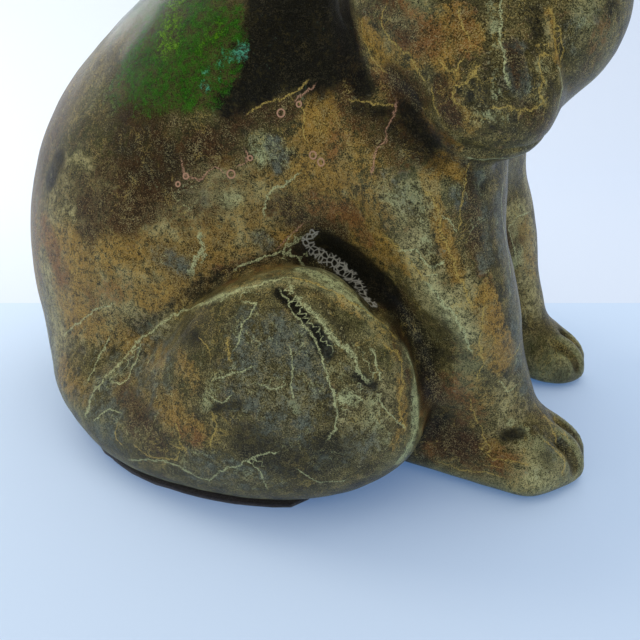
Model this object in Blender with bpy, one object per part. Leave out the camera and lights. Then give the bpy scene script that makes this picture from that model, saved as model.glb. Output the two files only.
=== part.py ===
"""A seated bear in raku pottery, its head bowed and turned to its right, on a felt pad.

The bear is one hollow-built pottery piece, given here as its outer solid. It is modelled
as a potter does: masses of clay are laid together, the joins between them are filled and
smoothed, and the eyes, nostrils, ears and toes are pressed in. Its pose and proportions
are in modules, and the bear stands MODULES_HIGH of them tall. It faces +X, its left side
is +Y and +Z is up.
"""

import math
from collections import namedtuple

import bmesh
import bpy
import numpy as np
from mathutils import Euler, Matrix, Vector

# Driving dimensions, in metres.
BEAR_HEIGHT = 0.32
MODULES_HIGH = 100.9
FELT_THICKNESS = 0.003
FELT_INSET = 0.005
FELT_GAP = 0.0003
BASE_EDGE_RADIUS = 0.008

# How fine the clay is worked, in metres, and how many triangles the bear keeps.
CLAY_GRAIN = 0.0035
BEAR_TRIANGLES = 9000

MODULE = BEAR_HEIGHT / MODULES_HIGH

# A mass is an ellipsoid and a limb is a tapered rod with round ends. Centres, radii and
# joins are in modules; turn is degrees about X, Y and Z. A join is how far the clay is
# smeared where the piece meets what is already there, and where it is less than nothing
# the piece is pressed in as a hollow instead.
Mass = namedtuple("Mass", "name centre radii turn join")
Limb = namedtuple("Limb", "name start end start_radius end_radius join")

# The head's own frame has its face along +X. It is turned about Z to the bear's right,
# then bowed.
HEAD_CENTRE = (29.25, -11.0, 81.5)
HEAD_TURN = -74.0
HEAD_BOW = 30.5
HEAD_JOIN = 2.5
THIGH_JOIN = 3.5

# The rump stands on the felt and the front paws on the floor: between these two lengths
# forward of the body's middle, in modules, the underside steps down.
HEEL_BACK = 14.0
HEEL_FRONT = 20.0

BODY = [
    Mass("trunk", (-20.75, 0, 28), (46.25, 35.25, 52.75), (0, 0, 0), 0),
    Mass("hips", (-20, 0, 18.75), (35.25, 35, 48.75), (0, 0, 0), 14),
    Mass("rump", (-25.75, 0, 10), (28.75, 45.75, 15), (0, 0, 0), 9),
    Mass("withers", (-5.5, 0, 64.75), (28.25, 25, 22.5), (0, 20, 0), 16),
    Mass("chest", (16.5, 0, 50), (16.25, 21.5, 24), (0, 0, 0), 12),
    Mass("belly", (8, 0, 16), (22, 29, 18), (0, 0, 0), 8),
    Limb("neck", (6, 0, 70), (24, -5, 77), 19, 15, 10),
]
FORELEG = [
    Mass("shoulder", (18, -17, 56), (17, 13, 20), (0, 0, 0), 10),
    Limb("upper_arm", (25, -24.75, 52), (26.5, -23.5, 31.25), 11, 13.5, 8),
    Limb("forearm", (26.5, -23.5, 31.25), (39.75, -20.25, 9.75), 13.5, 7.5, 6),
    Limb("heel", (19, -21, 7), (45.25, -25.75, 3.75), 8, 6, 5),
    Limb("armpit", (8, -40, 46), (23, -41, 27), 7.5, 10, -7),
    Mass("knuckles", (44.5, -20.5, 5), (6.75, 7.75, 6.5), (0, 0, 0), 4.5),
    Limb("paw", (45, -21, 4), (48.5, -19.75, 3.25), 6, 7.5, 3),
]
THIGH = [
    Mass("haunch", (-4.75, -34.5, 10.25), (32.75, 16.75, 14.5), (0, -6.5, 0), 0),
    Mass("knee", (5.75, -37, 25), (19.25, 12, 15.5), (0, -12, 0), 14),
]
HEAD = [
    Mass("skull", (0, 0, 0), (21, 22, 16.75), (0, 0, 0), 0),
    Mass("cheek_right", (6.75, -6.75, -1), (13.75, 11.5, 9.75), (0, 0, 0), 8),
    Mass("cheek_left", (6.75, 6.75, -1), (13.75, 11.5, 9.75), (0, 0, 0), 8),
    Limb("muzzle", (14.25, 0, -7.25), (21.25, 0, -4.25), 11, 10, 4),
    Mass("eye_hollow_right", (16.4, -8, 11), (3.4, 3.6, 2.4), (0, 0, 0), -2.5),
    Mass("eye_hollow_left", (16.4, 8, 11), (3.4, 3.6, 2.4), (0, 0, 0), -2.5),
    Mass("eye_right", (12.5, -8, 10.9), (2, 2.4, 1.6), (0, 0, 0), 1),
    Mass("eye_left", (12.5, 8, 10.9), (2, 2.4, 1.6), (0, 0, 0), 1),
    Mass("nostril_right", (30, -4, 0.6), (2.2, 1.7, 2.2), (0, 0, 0), -1.2),
    Mass("nostril_left", (30, 4, 0.6), (2.2, 1.7, 2.2), (0, 0, 0), -1.2),
    Mass("under_lip", (27, 0, -24), (17, 26, 13), (0, 25, 0), -1.2),
    Mass("ear_right", (-3, -16.5, 13), (4.6, 6.2, 7.5), (30, 0, 0), 3),
    Mass("ear_left", (-3, 16.5, 13), (4.6, 6.2, 7.5), (-30, 0, 0), 3),
    Mass("ear_cup_right", (2.6, -17.6, 14.8), (3.2, 3.6, 4.4), (30, 0, 0), -1.5),
    Mass("ear_cup_left", (2.6, 17.6, 14.8), (3.2, 3.6, 4.4), (-30, 0, 0), -1.5),
]

# Each front paw has grooves between its toes. A groove is an arc about the end of the
# paw, from the top of the paw forward and down, at a distance across from the paw's line.
TOE_GROOVES = (-4.6, 0.0, 4.6)
TOE_ARC = (85, 5)
TOE_WIDTH = 1.7
TOE_DEPTH = 1.1

# The felt follows the rump's own edge at this height and stops short of the front paws.
FELT_EDGE_HEIGHT = 2.5
FELT_CENTRE = (-14.0, 0.0)
FELT_FRONT = 13.0
FELT_CORNER = 12.0
FELT_EDGE_POINTS = 96


def clear_scene():
    for obj in list(bpy.data.objects):
        bpy.data.objects.remove(obj, do_unlink=True)


def head_frame():
    """The head's frame in the bear's, in modules."""
    turn = Matrix.Rotation(math.radians(HEAD_TURN), 4, "Z")
    bow = Matrix.Rotation(math.radians(HEAD_BOW), 4, "Y")
    return Matrix.Translation(HEAD_CENTRE) @ turn @ bow


def frame_of(mass):
    """A mass's own frame, in modules."""
    turn = Euler([math.radians(angle) for angle in mass.turn]).to_matrix().to_4x4()
    return Matrix.Translation(mass.centre) @ turn


def mirrored(piece):
    """The same piece on the bear's other side."""
    flip = (1, -1, 1)
    if isinstance(piece, Limb):
        start = tuple(a * b for a, b in zip(piece.start, flip))
        end = tuple(a * b for a, b in zip(piece.end, flip))
        return piece._replace(name=piece.name + "_left", start=start, end=end)
    centre = tuple(a * b for a, b in zip(piece.centre, flip))
    turn = (-piece.turn[0], piece.turn[1], -piece.turn[2])
    return piece._replace(name=piece.name + "_left", centre=centre, turn=turn)


def both_sides(pieces):
    return pieces + [mirrored(piece) for piece in pieces]


def clay_groups():
    """The body, the two thighs and the head: pieces in the order they are laid, the
    frame that they are placed in, and the join between the group and the rest."""
    upright = Matrix.Identity(4)
    return [
        (BODY + both_sides(FORELEG), upright, 0),
        (THIGH, upright, THIGH_JOIN),
        ([mirrored(piece) for piece in THIGH], upright, THIGH_JOIN),
        (HEAD, head_frame(), HEAD_JOIN),
    ]


def local_points(points, frame):
    """Points, an array in the bear's frame, seen from another frame."""
    inverse = np.array(frame.inverted())
    return points @ inverse[:3, :3].T + inverse[:3, 3]


def distance_to_mass(points, mass):
    radii = np.array(mass.radii)
    local = local_points(points, frame_of(mass))
    reach = np.linalg.norm(local / radii, axis=1)
    slope = np.linalg.norm(local / radii**2, axis=1)
    return reach * (reach - 1) / np.maximum(slope, 1e-9)


def distance_to_limb(points, limb):
    start, end = np.array(limb.start), np.array(limb.end)
    along = end - start
    share = np.clip((points - start) @ along / (along @ along), 0, 1)
    nearest = start + share[:, None] * along
    radius = limb.start_radius + share * (limb.end_radius - limb.start_radius)
    return np.linalg.norm(points - nearest, axis=1) - radius


def distance_to_piece(points, piece):
    measure = distance_to_limb if isinstance(piece, Limb) else distance_to_mass
    return measure(points, piece)


def smear(first, second, join):
    """Two distances joined as clay is, with the crease between them filled over join."""
    if join <= 0:
        return np.minimum(first, second)
    overlap = np.maximum(join - np.abs(first - second), 0) / join
    return np.minimum(first, second) - overlap**2 * join / 4


def group_distance(points, pieces, frame):
    """How far points lie outside a group of pieces, laid on or pressed in one by one."""
    whole = None
    points = local_points(points, frame)
    for piece in pieces:
        reach = distance_to_piece(points, piece)
        if whole is None:
            whole = reach
        elif piece.join < 0:
            whole = -smear(-whole, reach, -piece.join)
        else:
            whole = smear(whole, reach, piece.join)
    return whole


def underside(points):
    """How high the bear's underside is, in modules: on the felt, or on the floor."""
    share = np.clip((points[:, 0] - HEEL_BACK) / (HEEL_FRONT - HEEL_BACK), 0, 1)
    step = share * share * (3 - 2 * share)
    return (1 - step) * (FELT_THICKNESS + FELT_GAP) / MODULE


def clay_distance(points):
    """How far each point lies outside the bear's clay, in modules."""
    whole = None
    for pieces, frame, join in clay_groups():
        reach = group_distance(points, pieces, frame)
        whole = reach if whole is None else smear(whole, reach, join)
    over_base = points[:, 2] - underside(points)
    return -smear(-whole, over_base, BASE_EDGE_RADIUS / MODULE)


def rough_clay():
    """The masses and limbs as plain overlapping lumps, a limb being a row of balls."""
    bm = bmesh.new()
    laid = [
        (piece, frame)
        for pieces, frame, _ in clay_groups()
        for piece in pieces
        if piece.join >= 0
    ]
    for piece, frame in laid:
        if isinstance(piece, Mass):
            place = frame @ frame_of(piece) @ Matrix.Diagonal((*piece.radii, 1))
            bmesh.ops.create_icosphere(bm, subdivisions=4, radius=1, matrix=place)
            continue
        start, end = Vector(piece.start), Vector(piece.end)
        count = max(2, round((end - start).length / 1.5))
        for ball in range(count + 1):
            share = ball / count
            place = frame @ Matrix.Translation(start.lerp(end, share))
            radius = piece.start_radius + share * (piece.end_radius - piece.start_radius)
            bmesh.ops.create_icosphere(bm, subdivisions=3, radius=radius, matrix=place)
    bmesh.ops.scale(bm, vec=(MODULE,) * 3, verts=bm.verts)
    mesh = bpy.data.meshes.new("rough_clay")
    bm.to_mesh(mesh)
    bm.free()
    return mesh


def applied(obj):
    """The object's mesh with its modifiers applied, and no modifier left on it."""
    graph = bpy.context.evaluated_depsgraph_get()
    obj.data = bpy.data.meshes.new_from_object(obj.evaluated_get(graph))
    obj.modifiers.clear()
    return obj.data


def knead(obj, grain):
    """The lumps made one closed skin, with a face about every grain."""
    remesh = obj.modifiers.new("knead", "REMESH")
    remesh.mode = "VOXEL"
    remesh.voxel_size = grain
    return applied(obj)


def points_of(mesh):
    flat = np.empty(len(mesh.vertices) * 3, np.float32)
    mesh.vertices.foreach_get("co", flat)
    return flat.reshape(-1, 3).astype(float)


def settle(mesh, rounds=8):
    """The skin moved onto the surface of the smeared clay."""
    points = points_of(mesh) / MODULE
    step = 0.05
    for _ in range(rounds):
        reach = clay_distance(points)
        slope = np.stack(
            [clay_distance(points + step * axis) - reach for axis in np.eye(3)], axis=1
        ) / step
        steep = np.maximum((slope**2).sum(axis=1), 0.2)
        points -= 0.8 * (reach / steep)[:, None] * slope
    mesh.vertices.foreach_set("co", (points * MODULE).astype(np.float32).ravel())
    mesh.update()


def toe_paths():
    """The grooves between the toes of both front paws, each a row of points."""
    paw = FORELEG[-1]
    first, last = (math.radians(angle) for angle in TOE_ARC)
    paths = []
    for across in TOE_GROOVES:
        reach = math.sqrt(paw.end_radius**2 - across**2)
        angles = np.linspace(first, last, 9)
        forward = paw.end[0] + reach * np.cos(angles)
        upward = paw.end[2] + reach * np.sin(angles)
        sideways = np.full(9, paw.end[1] + across)
        paths.append(np.stack([forward, sideways, upward], axis=1))
        paths.append(np.stack([forward, -sideways, upward], axis=1))
    return paths


def distance_to_path(points, path):
    nearest = np.full(len(points), np.inf)
    for start, end in zip(path[:-1], path[1:]):
        piece = Limb("stroke", tuple(start), tuple(end), 0, 0, 0)
        nearest = np.minimum(nearest, distance_to_limb(points, piece))
    return nearest


def draw_grooves(mesh, paths, width, depth):
    """Presses a round-bottomed groove into the skin along each path."""
    points = points_of(mesh) / MODULE
    outward = np.array([vertex.normal[:] for vertex in mesh.vertices])
    nearest = np.min([distance_to_path(points, path) for path in paths], axis=0)
    press = np.clip(1 - (nearest / width) ** 2, 0, 1) ** 2 * depth
    points -= press[:, None] * outward
    mesh.vertices.foreach_set("co", (points * MODULE).astype(np.float32).ravel())
    mesh.update()


def level(mesh):
    """Trims off whatever hangs below the underside, so that the bear sits flat."""
    points = points_of(mesh) / MODULE
    points[:, 2] = np.maximum(points[:, 2], underside(points))
    mesh.vertices.foreach_set("co", (points * MODULE).astype(np.float32).ravel())
    mesh.update()


def make_bear():
    bear = bpy.data.objects.new("bear", rough_clay())
    bpy.context.collection.objects.link(bear)
    for grain, rounds in ((1.4 * CLAY_GRAIN, 14), (CLAY_GRAIN, 8), (CLAY_GRAIN, 8)):
        knead(bear, grain)
        settle(bear.data, rounds)
    draw_grooves(bear.data, toe_paths(), TOE_WIDTH, TOE_DEPTH)
    fewer = bear.modifiers.new("fewer_faces", "DECIMATE")
    fewer.ratio = BEAR_TRIANGLES / (2 * len(bear.data.polygons))
    level(applied(bear))
    bear.data.shade_smooth()
    return bear


def rump_edge(angle):
    """How far the rump's edge is from the felt's centre, in modules."""
    near, far = 0.0, 80.0
    direction = np.array((math.cos(angle), math.sin(angle), 0.0))
    centre = np.array((*FELT_CENTRE, FELT_EDGE_HEIGHT))
    for _ in range(30):
        middle = (near + far) / 2
        if clay_distance((centre + middle * direction)[None])[0] < 0:
            near = middle
        else:
            far = middle
    front = FELT_FRONT - FELT_CENTRE[0]
    if direction[0] > 0:
        near = smear(near, front / direction[0], FELT_CORNER)
    return near - FELT_INSET / MODULE


def make_felt():
    """The pad under the rump: a flat sheet with a square-cut edge."""
    bm = bmesh.new()
    corners = []
    for corner in range(FELT_EDGE_POINTS):
        angle = 2 * math.pi * corner / FELT_EDGE_POINTS
        reach = rump_edge(angle)
        x = FELT_CENTRE[0] + reach * math.cos(angle)
        y = FELT_CENTRE[1] + reach * math.sin(angle)
        corners.append(bm.verts.new((x * MODULE, y * MODULE, 0)))
    sheet = bm.faces.new(corners)
    top = bmesh.ops.extrude_face_region(bm, geom=[sheet])["geom"]
    raised = [item for item in top if isinstance(item, bmesh.types.BMVert)]
    bmesh.ops.translate(bm, vec=(0, 0, FELT_THICKNESS), verts=raised)
    bmesh.ops.triangulate(bm, faces=bm.faces[:])
    bmesh.ops.recalc_face_normals(bm, faces=bm.faces[:])
    mesh = bpy.data.meshes.new("felt_pad")
    bm.to_mesh(mesh)
    bm.free()
    felt = bpy.data.objects.new("felt_pad", mesh)
    bpy.context.collection.objects.link(felt)
    return felt


def centred(objects):
    """The bear and its felt moved so that the box around them is centred on the origin."""
    corners = np.concatenate([points_of(obj.data) for obj in objects])
    low, high = corners.min(axis=0), corners.max(axis=0)
    step = Vector((-(low[0] + high[0]) / 2, -(low[1] + high[1]) / 2, -low[2]))
    for obj in objects:
        obj.data.transform(Matrix.Translation(step))


def paint(obj, name, colour, roughness):
    material = bpy.data.materials.new(name)
    material.use_nodes = True
    surface = material.node_tree.nodes["Principled BSDF"]
    surface.inputs["Base Color"].default_value = colour
    surface.inputs["Roughness"].default_value = roughness
    obj.data.materials.clear()
    obj.data.materials.append(material)


def main():
    clear_scene()
    bear = make_bear()
    felt = make_felt()
    centred([bear, felt])
    paint(bear, "raku_glaze", (0.2, 0.16, 0.09, 1), 0.45)
    paint(felt, "felt", (0.03, 0.022, 0.018, 1), 0.95)


if __name__ == "__main__":
    main()
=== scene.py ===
"""A seated bear in raku pottery on its felt pad, with its glaze, and a plain pale studio.

The bear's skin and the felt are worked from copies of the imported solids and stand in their
places. Lengths in the tables are millimetres in the bear's own frame: it faces +X, its left
side is +Y and +Z is up.
"""

import math
from collections import namedtuple

import bmesh
import bpy
import numpy as np
from bpy.props import FloatProperty, FloatVectorProperty, IntProperty, PointerProperty
from mathutils import Matrix, Vector, noise
from mathutils.bvhtree import BVHTree


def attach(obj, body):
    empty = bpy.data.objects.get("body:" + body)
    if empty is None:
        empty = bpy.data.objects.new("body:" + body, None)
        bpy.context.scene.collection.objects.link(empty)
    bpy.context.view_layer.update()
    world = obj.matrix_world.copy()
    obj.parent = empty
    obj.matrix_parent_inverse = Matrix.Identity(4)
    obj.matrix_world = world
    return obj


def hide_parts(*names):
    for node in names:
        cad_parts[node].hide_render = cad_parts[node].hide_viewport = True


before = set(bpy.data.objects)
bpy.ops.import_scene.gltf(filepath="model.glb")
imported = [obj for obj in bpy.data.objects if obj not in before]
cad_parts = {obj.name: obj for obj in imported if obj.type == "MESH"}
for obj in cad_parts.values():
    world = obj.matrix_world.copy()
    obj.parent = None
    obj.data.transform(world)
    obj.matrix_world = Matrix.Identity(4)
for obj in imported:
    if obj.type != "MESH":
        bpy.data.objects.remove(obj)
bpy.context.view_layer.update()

bl_info = {
    "name": "Raku bear",
    "version": (1, 0, 0),
    "blender": (4, 5, 0),
    "location": "View3D > Sidebar > Bear",
    "description": "Dresses a seated pottery bear in its raku glaze",
    "category": "Object",
}

MILLIMETRE = 0.001

# The head's own frame has its face along +X; its lengths are in modules, as the bear's
# proportions are.
MODULE = 0.32 / 100.9
FORWARD_SHIFT = 5.6
HEAD_CENTRE = (29.25, -11.0, 81.5)
HEAD_TURN = -74.0
HEAD_BOW = 30.5

# A stroke presses a groove into the clay along a line, or raises a ridge where its depth is
# less than nothing.
Stroke = namedtuple("Stroke", "name width depth path")
STROKES = [
    Stroke("thigh_valley", 7, 1.2, [
        (-86, -132, 50), (-77, -125, 64), (-60, -122, 84), (-39, -120, 100), (-22, -118, 109),
        (-4, -117, 116), (14, -118, 124), (27, -114, 128), (40, -114, 129),
    ]),
    Stroke("thigh_crest", 3.5, -1.0, [
        (-78, -142, 43), (-67, -133, 58), (-53, -125, 74), (-36, -123, 89), (-10, -129, 106),
        (11, -134, 117), (27, -132, 124), (41, -128, 127),
    ]),
    Stroke("knee_crest", 3, -0.8, [
        (41, -128, 127), (56, -128, 125), (74, -129, 118), (88, -123, 108),
    ]),
    Stroke("thigh_rim", 3.5, -0.8, [
        (95, -120, 98), (102, -119, 82), (105, -120, 66), (106, -124, 50),
    ]),
    Stroke("knee_crevice", 8, 4.0, [
        (36, -92, 131), (42, -91, 128), (55, -92, 123), (71, -109, 121), (81, -117, 116),
        (90, -121, 107),
    ]),
    Stroke("leg_ridge", 4, -0.9, [
        (91, -112, 142), (105, -115, 130), (117, -115, 117), (127, -112, 99),
    ]),
    Stroke("leg_hollow", 8, 0.9, [
        (101, -114, 150), (114, -112, 139), (125, -111, 124), (134, -108, 109),
    ]),
    Stroke("muzzle_edge", 3.0, -1.0, [
        (145, -93, 248), (149, -95, 234), (153, -95, 223), (156, -91, 212),
    ]),
    Stroke("cheek_valley", 4.5, 1.3, [
        (149, -89, 252), (153, -90, 237), (157, -87, 223), (158, -76, 212),
    ]),
    Stroke("old_crawl", 3, 1.0, [
        (38, -136, 123), (51, -143, 115), (61, -146, 107), (66, -148, 100),
    ]),
]

# Strokes on one side of the head, in its own frame and in modules; the other side mirrors
# them. Widths and depths are in millimetres here too.
HEAD_STROKES = [
    Stroke("mouth", 2.6, 1.5, [
        (18, 12.5, -9.5), (23.5, 9.8, -8.2), (28, 6.6, -7.2), (30.6, 3.2, -6.7), (31.2, 0, -6.6),
    ]),
    Stroke("lip", 3.0, -0.9, [
        (24, 9.8, -10), (28.2, 6.6, -8.9), (30.4, 3.2, -8.4), (31, 0, -8.3),
    ]),
    Stroke("nostril", 3.0, 1.8, [(30.2, 2.4, 1.0), (29.8, 4.2, 1.2), (29.0, 5.6, -0.6)]),
    Stroke("nose_cleft", 2.4, 0.7, [(31.4, 0, 0.5), (31.8, 0, -2.5), (31.6, 0, -5.5)]),
]

# The end of the near front paw and how far its toe grooves lie from its line, in modules.
PAW_END = (48.5 + FORWARD_SHIFT, -19.75, 3.25)
PAW_RADIUS = 7.5
TOE_GROOVES = (-4.6, 0.0, 4.6)

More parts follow.
